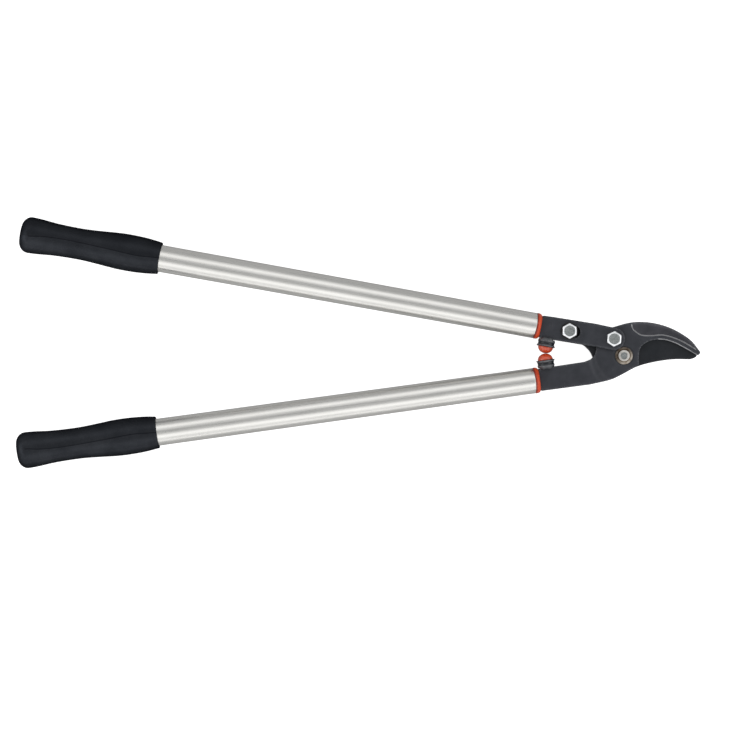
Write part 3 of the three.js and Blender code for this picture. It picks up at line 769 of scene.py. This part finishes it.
def make_blade():
    def bevel(p):
        """Width of the ground bevel, which runs out at both ends of the edge."""
        along = np.clip((p[:, 0] - BEVEL_START) / BEVEL_LENGTH, 0.01, 0.99)
        return BEVEL_WIDTH * np.minimum(1, 1.6 * np.sin(np.pi * along))

    def top(p):
        return np.full(len(p), BLADE_FRONT)

    def bottom(p):
        d, _ = distance_to(p, CUTTING_EDGE)
        ground = np.clip(1 - d / np.maximum(bevel(p), 0.01), 0, 1)
        return BLADE_BACK + (BLADE_FRONT - BLADE_BACK - 0.5) * ground

    def paint(p, facing):
        if facing == 0:
            return np.where(distance_to(p, CUTTING_EDGE)[0] < 0.6, 1, 2)
        return inside(p, ground) & (facing == -1)

    features = [offset(CUTTING_EDGE, -k * bevel(CUTTING_EDGE))[3:-2] for k in (0.25, 0.5, 0.75, 1.0)]
    ground = np.vstack((offset(CUTTING_EDGE, 1.0)[3:-2], features[-1][::-1]))
    forging("blade_forging", soften(blade_outline(), 1.2), [hole(PIVOT, 7.3), hole(DRIVE, PLATE_BORE_R)],
            top, bottom, 0.35, features, paint, body=BLADE, slot="blade_steel", replaced=["cutting_blade"],
            materials=[BLADE_COAT, BEVEL, SIDES])


# ---- hardware
HEX_FLATS = 15.9
HEX_BEARING_R = 7.6
DULL_FACE_R = 6.2
THREAD_R = 5.15
HEX_TURN = {"fulcrum_bolt": -2.6, "drive_bolt": 1.4, "pivot_nut": -4.0, "drive_bolt_nut": -4.0}


def hex_radius(angles):
    """Radius of a hexagon with slightly blunted corners, its points along Y before it is turned."""
    a = (angles + math.pi / 6) % (math.pi / 3) - math.pi / 6
    return np.minimum(HEX_FLATS / 2 / np.cos(a), HEX_FLATS / math.sqrt(3) - 0.12)


def make_hex_head(name, node, centre, base, height, body, segments=144):
    """Hexagon head with a wide bright chamfer round a dull forged face, on its shank."""
    crown = base + height
    turn = math.radians(HEX_TURN[node])

    def face_r(angles):
        return 5.5 + 0.17 * hex_radius(angles)

    def chamfer_z(angles):
        return crown - (hex_radius(angles) - face_r(angles)) * math.tan(math.radians(29))

    low = box_mm(node)[0][2]
    profile = [
        (SHANK_R - 0.7, low),
        (SHANK_R, low + 0.7),
        (SHANK_R, base),
        (HEX_BEARING_R - 0.15, base),
        (HEX_BEARING_R, base + 0.35),
        (lambda a: hex_radius(a) - 0.25, base + 0.4),
        (hex_radius, base + 0.7),
        (hex_radius, lambda a: chamfer_z(a) - 0.12),
        (lambda a: hex_radius(a) - 0.1, chamfer_z),
        (lambda a: face_r(a) + 0.1, crown - 0.06),
        (lambda a: face_r(a) - 0.1, crown),
        (lambda a: face_r(a) - 0.6, crown - 0.14),
        (3.6, crown - 0.2),
        (2.0, crown - 0.24),
    ]
    verts, faces = skin(stack(profile, segments, turn), (0, 0, low), (0, 0, crown - 0.26))
    rim = reach(verts) > HEX_BEARING_R
    centres = face_centres(verts, faces)
    dull = (centres[:, 2] > crown - 0.3) & (reach(centres) < DULL_FACE_R)
    verts = verts + np.array((*centre, 0))
    build(name, verts, faces, body, "zinc_steel", [node], [ZINC, ZINC_DULL], indices=dull.astype(int),
          attributes={"edge": rim.astype(float)}, sharp_deg=18)


def make_nut(name, node, centre, body, segments=144):
    """Hexagon nut seen from behind: chamfered corners and a countersunk thread."""
    turn = math.radians(HEX_TURN[node])
    low, high = box_mm(node)[0][2], box_mm(node)[1][2]

    def chamfer(angles):
        return 0.05 + np.maximum(hex_radius(angles) - HEX_BEARING_R, 0) * 0.6

    profile = [(THREAD_R, low + 0.9), (5.9, low + 0.1), (6.1, low), (HEX_BEARING_R, low),
               (hex_radius, lambda a: low + chamfer(a)), (hex_radius, lambda a: high - chamfer(a)),
               (HEX_BEARING_R, high), (THREAD_R, high)]
    for k in range(9):
        profile.append((THREAD_R if k % 2 else 5.3, high - (k + 0.5) * (high - low - 0.9) / 9))
    verts, faces = skin(stack(profile, segments, turn))
    faces = [f[::-1] for f in faces]
    build(name, verts + np.array((*centre, 0)), faces, body, "zinc_steel", [node], [ZINC], sharp_deg=25)


DARKENED_SIDE = (-0.6, 0.8)  # from the pivot towards the fulcrum


def make_ring(name, node, centre, body, slot, material, dish):
    """Washer or bush from its node's box, with softened rims; dish is how far its middle sinks."""
    inner = SHANK_BORE_R
    low, high = box_mm(node)
    outer = (high[0] - low[0]) / 2
    profile = [(inner, low[2]), (outer, low[2]), (outer, high[2])]
    if dish:
        profile += [(outer - 1.9, high[2]), (outer - 2.6, high[2] - dish)]
    profile.append((inner, high[2] - dish))
    corner = min(0.3, (high[2] - low[2]) * 0.3)
    verts, faces = revolve(rounded(profile, corner), centre=centre)
    rim = smoothstep(reach(verts, centre), outer - 3.0, outer - 1.6)
    towards_fulcrum = (verts[:, :2] - centre) @ np.array(DARKENED_SIDE) / outer
    build(name, verts, faces, body, slot, [node], [material], sharp_deg=40,
          attributes={"edge": rim, "oil": smoothstep(towards_fulcrum, -0.9, 0.4)})


def make_pivot_bolt(segments=120):
    """Low round head with a hexagon socket, and a plain end with a turned chamfer."""
    base = HOOK_FRONT + 0.35
    crown = box_mm("pivot_bolt")[1][2]
    head_r = 6.5
    end = box_mm("pivot_bolt")[0][2]

    def socket(angles):
        return np.minimum(3.5 / np.cos((angles + math.pi / 6) % (math.pi / 3) - math.pi / 6), 3.95)

    profile = [(SHANK_R - 0.8, end), (SHANK_R, end + 0.8)]
    for k in range(8):
        profile.append((SHANK_R - (0.35 if k % 2 else 0.0), end + 1.2 + 0.7 * k))
    profile += [(SHANK_R, end + 7.4), (SHANK_R, base), (head_r - 0.2, base), (head_r, base + 0.2),
                (head_r, crown - 0.55), (head_r - 0.16, crown - 0.2), (head_r - 0.55, crown), (4.45, crown),
                (4.1, crown - 0.25), (socket, crown - 0.7), (socket, crown - 1.5), (1.5, crown - 1.75)]
    verts, faces = skin(stack(profile, segments), (0, 0, end), (0, 0, crown - 1.9))
    centres = face_centres(verts, faces)
    dull = (centres[:, 2] > base) & (reach(centres) < 4.2)
    build("pivot_bolt_and_socket", verts + np.array((*PIVOT, 0)), faces, HOOK, "zinc_steel", ["pivot_bolt"],
          [ZINC_WORN, ZINC_DULL], indices=dull.astype(int), sharp_deg=30)


def make_hardware():
    fulcrum_base = ARM_FRONT + 0.3
    drive_base = box_mm("drive_washer")[1][2] + 0.3
    head = 6.4
    make_hex_head("fulcrum_hex_bolt", "fulcrum_bolt", FULCRUM, fulcrum_base, head, HOOK)
    make_hex_head("drive_hex_bolt", "drive_bolt", DRIVE, drive_base, head, BLADE)
    make_pivot_bolt()
    make_nut("pivot_hex_nut", "pivot_nut", PIVOT, HOOK)
    make_nut("drive_hex_nut", "drive_bolt_nut", DRIVE, BLADE)
    for name, node, centre, body, slot, material, dish in (
            ("pivot_bronze_washer", "pivot_front_washer", PIVOT, HOOK, "bronze", WASHER, 0.3),
            ("pivot_back_washer", "pivot_rear_washer", PIVOT, HOOK, "zinc_steel", ZINC, 0),
            ("blade_bronze_bush", "blade_bush", PIVOT, BLADE, "bronze", BRONZE, 0),
            ("fulcrum_bronze_bush", "fulcrum_bush", FULCRUM, LEVER, "bronze", BRONZE, 0),
            ("fulcrum_thrust_washer", "fulcrum_washer", FULCRUM, LEVER, "bronze", BRONZE, 0),
            ("drive_slide_bush", "slide_bush", DRIVE, BLADE, "black_oxide", BLACK_OXIDE, 0),
            ("drive_black_washer", "drive_washer", DRIVE, BLADE, "black_oxide", BLACK_OXIDE, 0),
            ("drive_back_washer", "drive_rear_washer", DRIVE, BLADE, "zinc_steel", ZINC, 0)):
        make_ring(name, node, centre, body, slot, material, dish)


# ---- handles
def tube_r(u):
    return TUBE_R + TUBE_TAPER * u


GRIP_START, GRIP_END = 444.7, 610.7
GRIP_CORNER = 599.0
GRIP_PROFILE = spline([(444.7, 18.6), (455, 20), (468, 21.1), (484, 21.5), (498, 21), (514, 19.7),
                       (532, 18.5), (548, 18.3), (568, 18.9), (586, 20.5), (595, 21.1), (599, 21.2)], 100)
GRIP_CORNER_R = 11.6
GRIP_THICKNESS = 20 / 21.5
END_DOME = 0.6
SEAM_DEPTH = 0.22
# the parting line wanders about the axis: distance along the tube, offset away from the other handle
SEAM = spline([(440, 0.3), (455, -0.8), (473, -1.7), (506, -0.2), (552, 1.6), (580, 0.6), (597, -1.6),
               (615, -2)], 60)
GRIP_SLIDE = {"lower": 0.0, "upper": 1.2}
# Strength of the painted shade over the half of each grip towards +Y.
HALF_SHADE = {"lower": 0.4, "upper": 1.0}


def mouth_line(angles):
    """The tube's mouth is cut a little longer at the front and back than at the sides."""
    return 0.5 - 1.4 * np.sin(angles) ** 2


def make_tube(prefix, body, matrix, segments=160):
    end = TUBE_LENGTH
    outer = [(tube_r(u), u) for u in np.linspace(12, end - 0.35, 22)]
    mouth = [(tube_r(0) - TUBE_WALL, 6.0, 0.0), (tube_r(0) - TUBE_WALL, 0.35, 1.0),
             (tube_r(0) - TUBE_WALL + 0.3, 0.0, 1.0), (tube_r(0) - 0.35, 0.0, 1.0),
             (tube_r(0) - 0.1, 0.12, 1.0), (tube_r(0), 0.4, 1.0), (tube_r(0), 5.0, 0.3)]
    rings = [circle(r, lambda a, u=u, k=k: u + k * mouth_line(a), segments) for r, u, k in mouth]
    tail = [(tube_r(end) - 0.35, end), (tube_r(end) - TUBE_WALL + 0.3, end),
            (tube_r(end) - TUBE_WALL, end - 0.35)]
    verts, faces = skin(rings + stack(outer + tail, segments))
    build(f"{prefix}_drawn_tube", verts, faces, body, "tube_aluminium", [f"{prefix}_tube"], [ALUMINIUM],
          matrix)


def make_ferrule(prefix, body, matrix, segments=160):
    """Collar with a domed face, slotted for the forged tang, and a spigot inside the tube."""
    face = SHOULDER + 0.3
    half_x, half_y = TANG_HALF_WIDTH + 0.3, 6.1

    def slot(angles):
        return np.minimum(half_x / np.maximum(np.abs(np.cos(angles)), 1e-6),
                          half_y / np.maximum(np.abs(np.sin(angles)), 1e-6))

    dome = [(12.2, face + 0.02), (12.9, face + 0.3), (13.6, face + 0.75), (14.2, face + 1.35),
            (14.7, face + 2.1), (15.05, face + 3.0), (15.2, face + 4.0)]
    rim = [(15.2, -0.75), (15.1, -0.45), (14.85, -0.3)]
    spigot = TUBE_R - TUBE_WALL - 0.3
    profile = [(slot, 12), (slot, face)] + dome
    profile += [(r, lambda a, h=h: h + mouth_line(a)) for r, h in rim]
    profile += [(spigot, lambda a: mouth_line(a) - 0.3), (spigot, 11.4), (spigot - 0.5, 12)]
    verts, faces = skin(stack(profile, segments))
    faces = [f[::-1] for f in faces]
    # Marks the collar's rim next to the tube, where painted shade darkens it.
    to_mouth = verts[:, 2] - mouth_line(np.arctan2(verts[:, 1], verts[:, 0]))
    build(f"{prefix}_collar", verts, faces, body, "orange_plastic", [f"{prefix}_ferrule"], [ORANGE], matrix,
          attributes={"edge": smoothstep(to_mouth, -3.2, -0.8)}, sharp_deg=45)


def make_grip(prefix, body, side, segments=144):
    """Waisted oval sleeve with a rolled mouth, a moulded parting line and a rounded, slightly domed end."""
    matrix = handle_matrix(side) @ Matrix.Translation((0, 0, GRIP_SLIDE[prefix] * MM))
    quarter = segments // 4
    rings = []

    def seam_x(u):
        return -side * np.interp(u, SEAM[:, 0], SEAM[:, 1])

    def oval(u, width, line=1.0):
        angles = np.linspace(0, 2 * math.pi, segments, endpoint=False)
        angles = angles - math.asin(seam_x(u) / GRIP_PROFILE[-1][1]) * np.sin(angles)
        power = 2 / 2.12
        c, s = np.cos(angles), np.sin(angles)
        x = width * np.sign(c) * np.abs(c) ** power
        y = width * GRIP_THICKNESS * np.sign(s) * np.abs(s) ** power
        ridge = np.zeros(segments)
        ridge[[quarter, 3 * quarter]] = SEAM_DEPTH * line
        y = y + np.sign(s) * (ridge - SEAM_DEPTH * line)
        return np.stack((x, y, np.full(segments, u)), axis=1)

    bore_end = TUBE_LENGTH + 1
    rings.append(circle(tube_r(bore_end) + 0.3, bore_end, segments))
    rings.append(circle(tube_r(GRIP_START) + 0.3, GRIP_START + 0.4, segments))
    mouth = GRIP_PROFILE[0][1]
    for inset, along in ((0.7, 0.0), (0.3, 0.08), (0.08, 0.3), (0.0, 0.7)):
        rings.append(oval(GRIP_START + along, mouth - inset, 0.0))
    for u, width in GRIP_PROFILE[1:]:
        rings.append(oval(u, width))
    end_width = GRIP_PROFILE[-1][1]
    for angle in np.linspace(0, math.pi / 2, 14)[1:]:
        width = end_width - GRIP_CORNER_R * (1 - math.cos(angle))
        rings.append(oval(GRIP_CORNER + (GRIP_END - END_DOME - GRIP_CORNER) * math.sin(angle), width))
    for share in (0.75, 0.5, 0.25):
        dome = END_DOME * (1 - share ** 2)
        rings.append(oval(GRIP_END - END_DOME + dome, (end_width - GRIP_CORNER_R) * share, 0.3))
    verts, faces = skin(rings, (0, 0, bore_end), (0, 0, GRIP_END))
    # Vertices along the parting line, which the grip material darkens as painted shade.
    seam = (np.arange(len(verts)) % segments) % (2 * quarter) == quarter
    seam &= (np.abs(verts[:, 1]) > 15) & (verts[:, 2] < GRIP_CORNER)
    # Painted shade: how far each vertex lies on the grip's half towards +Y.
    above_seam = (verts[:, 0] - seam_x(verts[:, 2])) * matrix.col[0][1]
    painted_shade_upper_half = HALF_SHADE[prefix] * smoothstep(above_seam, -1.5, 1.5)
    build(f"{prefix}_rubber_grip", verts, faces, body, "grip_rubber", [f"{prefix}_grip"], [GRIP_RUBBER],
          matrix, attributes={"seam": seam.astype(float), "half": painted_shade_upper_half}, sharp_deg=50)


HALF_GAP = 0.15
CONTACT_SLOPE = 0.22


def press_flat(verts, matrix, side):
    """Flattens the dome where it bears on the other handle's dome, half a gap short of the mid-plane."""
    inward = matrix.col[2][1]
    place = np.array(matrix)
    world = verts @ place[:3, :3].T + place[:3, 3] / MM
    height = world[:, 1]
    limit = CENTRE_Y + side * HALF_GAP + CONTACT_SLOPE * (world[:, 2] - AXIS_Z)
    over = np.minimum(side * (height - limit), 0) * side
    verts[:, 2] -= over / inward


def make_bumper(prefix, side, body, matrix):
    """Black cup with a thin flared lip, and the domed stop that sits in it."""
    segments, bore, ear = 144, 2.7, 1.9

    def foot(radius):
        """The foot runs on past the arm's edge, over its front and back faces."""
        return lambda angles: -ear * smoothstep(radius * np.abs(np.sin(angles)), 6.15, 6.4)

    profile = [(r, foot(r)) for r in (6.3, 7.4, 8.6, 9.2)]
    profile += [(9.9, 1.5), (10.05, 2.3), (10.0, 3.0), (9.65, 3.6), (9.55, 4.4), (9.6, 5.6), (9.9, 6.5),
                (10.4, 7.4), (10.8, 8.1), (10.9, 8.5), (10.75, 8.75), (10.4, 8.8), (9.7, 8.6), (9.3, 8.1),
                (9.15, 7.4), (8.75, 6.6), (8.7, 2), (bore, 2), (bore, 0)]
    verts, faces = skin(stack(profile, segments))
    # Bands on the cup's outer flare and base where painted highlights go.
    painted_highlight_bands = sum(np.exp(-((verts[:, 2] - height) / 0.5) ** 2) for height in (7.3, 1.9))
    build(f"{prefix}_stop_cup", verts, faces, body, "cup_rubber", [f"{prefix}_bumper_cup"], [CUP_RUBBER],
          matrix, attributes={"edge": painted_highlight_bands * (reach(verts) > 9.4)}, sharp_deg=55)
    ball_h, crown_h, radius = 8.9, 16.45, 8.85
    angles = np.linspace(0, math.pi / 2, 26)
    ball = [(radius * math.cos(a), ball_h + (crown_h - ball_h) * math.sin(a) ** 0.94) for a in angles[:-1]]
    dome = [(0, 6), (4.4, 6), (4.4, 2.3), (8.3, 2.3), (8.35, 7.4)] + ball + [(0, crown_h)]
    verts, faces = revolve(dome, 96)
    press_flat(verts, matrix, side)
    build(f"{prefix}_stop_dome", verts, faces, body, "orange_rubber", [f"{prefix}_bumper_dome"],
          [ORANGE_RUBBER], matrix, sharp_deg=50)


def make_handles():
    for prefix, side, body in (("lower", -1, HOOK), ("upper", 1, LEVER)):
        along = handle_matrix(side)
        make_tube(prefix, body, along)
        make_ferrule(prefix, body, along)
        make_grip(prefix, body, side)
        make_bumper(prefix, side, body, bumper_matrix(side))


def finish_hidden_nodes():
    """The pieces inside keep their CAD shape and get a proper material."""
    for part, material in (("tube_plug", NYLON), ("bumper_screw", ZINC)):
        for prefix in ("lower", "upper"):
            mesh = frame["nodes"][f"{prefix}_{part}"].data
            mesh.materials.clear()
            mesh.materials.append(material)


# ---- studio
CAMERA_POINT = Vector((-0.2991, -0.0206, 0.020))
CAMERA_DISTANCE = 3.0
CAMERA_ROLL = math.radians(1.18)
FIELD_WIDTH = 0.8611


def make_camera():
    """Straight down on the tool, turned so that the jaws point right and a little down."""
    data = bpy.data.cameras.new("camera")
    data.sensor_width = 36
    data.lens = data.sensor_width * CAMERA_DISTANCE / FIELD_WIDTH
    data.clip_end = 50
    camera = bpy.data.objects.new("camera", data)
    bpy.context.scene.collection.objects.link(camera)
    camera.location = CAMERA_POINT + Vector((0, 0, CAMERA_DISTANCE))
    camera.rotation_euler = (0, 0, CAMERA_ROLL)
    bpy.context.scene.camera = camera


def make_light(name, location, target, size, radiance):
    data = bpy.data.lights.new(name, "AREA")
    data.shape = "RECTANGLE"
    data.size, data.size_y = size
    data.energy = radiance * math.pi * size[0] * size[1]
    light = bpy.data.objects.new(name, data)
    bpy.context.scene.collection.objects.link(light)
    light.location = location
    light.rotation_euler = (Vector(target) - Vector(location)).to_track_quat("-Z", "Y").to_euler()
    light.visible_camera = False


def make_long_box(name, from_deg, to_deg, radiance):
    """A softbox along X that covers a range of angles from the vertical, negative towards -Y."""
    distance = 6.0
    middle = math.radians((from_deg + to_deg) / 2)
    width = 2 * distance * math.tan(abs(math.radians(to_deg - from_deg)) / 2)
    target = Vector((CAMERA_POINT.x, 0, 0))
    location = target + Vector((0, math.sin(middle), math.cos(middle))) * distance
    make_light(name, location, target, (16.0, width), radiance)


def seen_and_unseen(tree, seen, unseen):
    """One shader for what the camera sees directly and another for what lights and reflects."""
    path = tree.nodes.new("ShaderNodeLightPath")
    mix = tree.nodes.new("ShaderNodeMixShader")
    tree.links.new(path.outputs["Is Camera Ray"], mix.inputs["Fac"])
    tree.links.new(unseen, mix.inputs[1])
    tree.links.new(seen, mix.inputs[2])
    return mix.outputs["Shader"]


FLOOR_GLOW = 0.85
STUDIO_GREY = 0.5


def make_floor():
    size = 14.0
    mesh = bpy.data.meshes.new("floor")
    corners = [(-size, -size, 0), (size, -size, 0), (size, size, 0), (-size, size, 0)]
    mesh.from_pydata(corners, [], [(0, 1, 2, 3)])
    material = bpy.data.materials.new("pale_floor")
    material.use_nodes = True
    tree = material.node_tree
    tree.nodes.remove(tree.nodes["Principled BSDF"])
    paper = tree.nodes.new("ShaderNodeBsdfDiffuse")
    paper.inputs["Color"].default_value = (0.70, 0.70, 0.70, 1)
    glow = tree.nodes.new("ShaderNodeEmission")
    glow.inputs["Strength"].default_value = FLOOR_GLOW
    both = tree.nodes.new("ShaderNodeAddShader")
    tree.links.new(paper.outputs["BSDF"], both.inputs[0])
    tree.links.new(glow.outputs["Emission"], both.inputs[1])
    dim = tree.nodes.new("ShaderNodeBsdfDiffuse")
    dim.inputs["Color"].default_value = (0.5, 0.5, 0.5, 1)
    out = seen_and_unseen(tree, both.outputs["Shader"], dim.outputs["BSDF"])
    tree.links.new(out, tree.nodes["Material Output"].inputs["Surface"])
    mesh.materials.append(material)
    floor = bpy.data.objects.new("floor", mesh)
    bpy.context.scene.collection.objects.link(floor)
    floor.location.z = -0.0004


def make_world():
    world = bpy.data.worlds.new("studio")
    bpy.context.scene.world = world
    world.use_nodes = True
    tree = world.node_tree
    white = tree.nodes["Background"]
    white.inputs["Color"].default_value = (1, 1, 1, 1)
    grey = tree.nodes.new("ShaderNodeBackground")
    grey.inputs["Color"].default_value = (0.98, 0.99, 1, 1)
    grey.inputs["Strength"].default_value = STUDIO_GREY
    out = seen_and_unseen(tree, white.outputs["Background"], grey.outputs["Background"])
    tree.links.new(out, tree.nodes["World Output"].inputs["Surface"])


def make_studio():
    make_camera()
    make_floor()
    make_world()
    middle = CAMERA_POINT.x
    make_long_box("front_soft", -17, -70, 0.45)
    make_long_box("front_core", -28, -53, 0.60)
    make_long_box("front_low", -72, -88, 1.0)
    make_long_box("back_soft", 15, 58, 0.40)
    make_long_box("back_core", 27, 49, 0.50)
    make_light("tip_box", (1.5, 0, 1.1), (0, 0, 0), (1.2, 1.6), 1.3)
    make_light("grip_box", (-2.3, 0, 1.1), (-0.5, 0, 0), (1.2, 1.6), 1.8)
    view = bpy.context.scene.view_settings
    view.view_transform = "Standard"
    view.look = "None"


make_studio()
make_hook()
make_lever()
make_blade()
make_hardware()
make_handles()
finish_hidden_nodes()
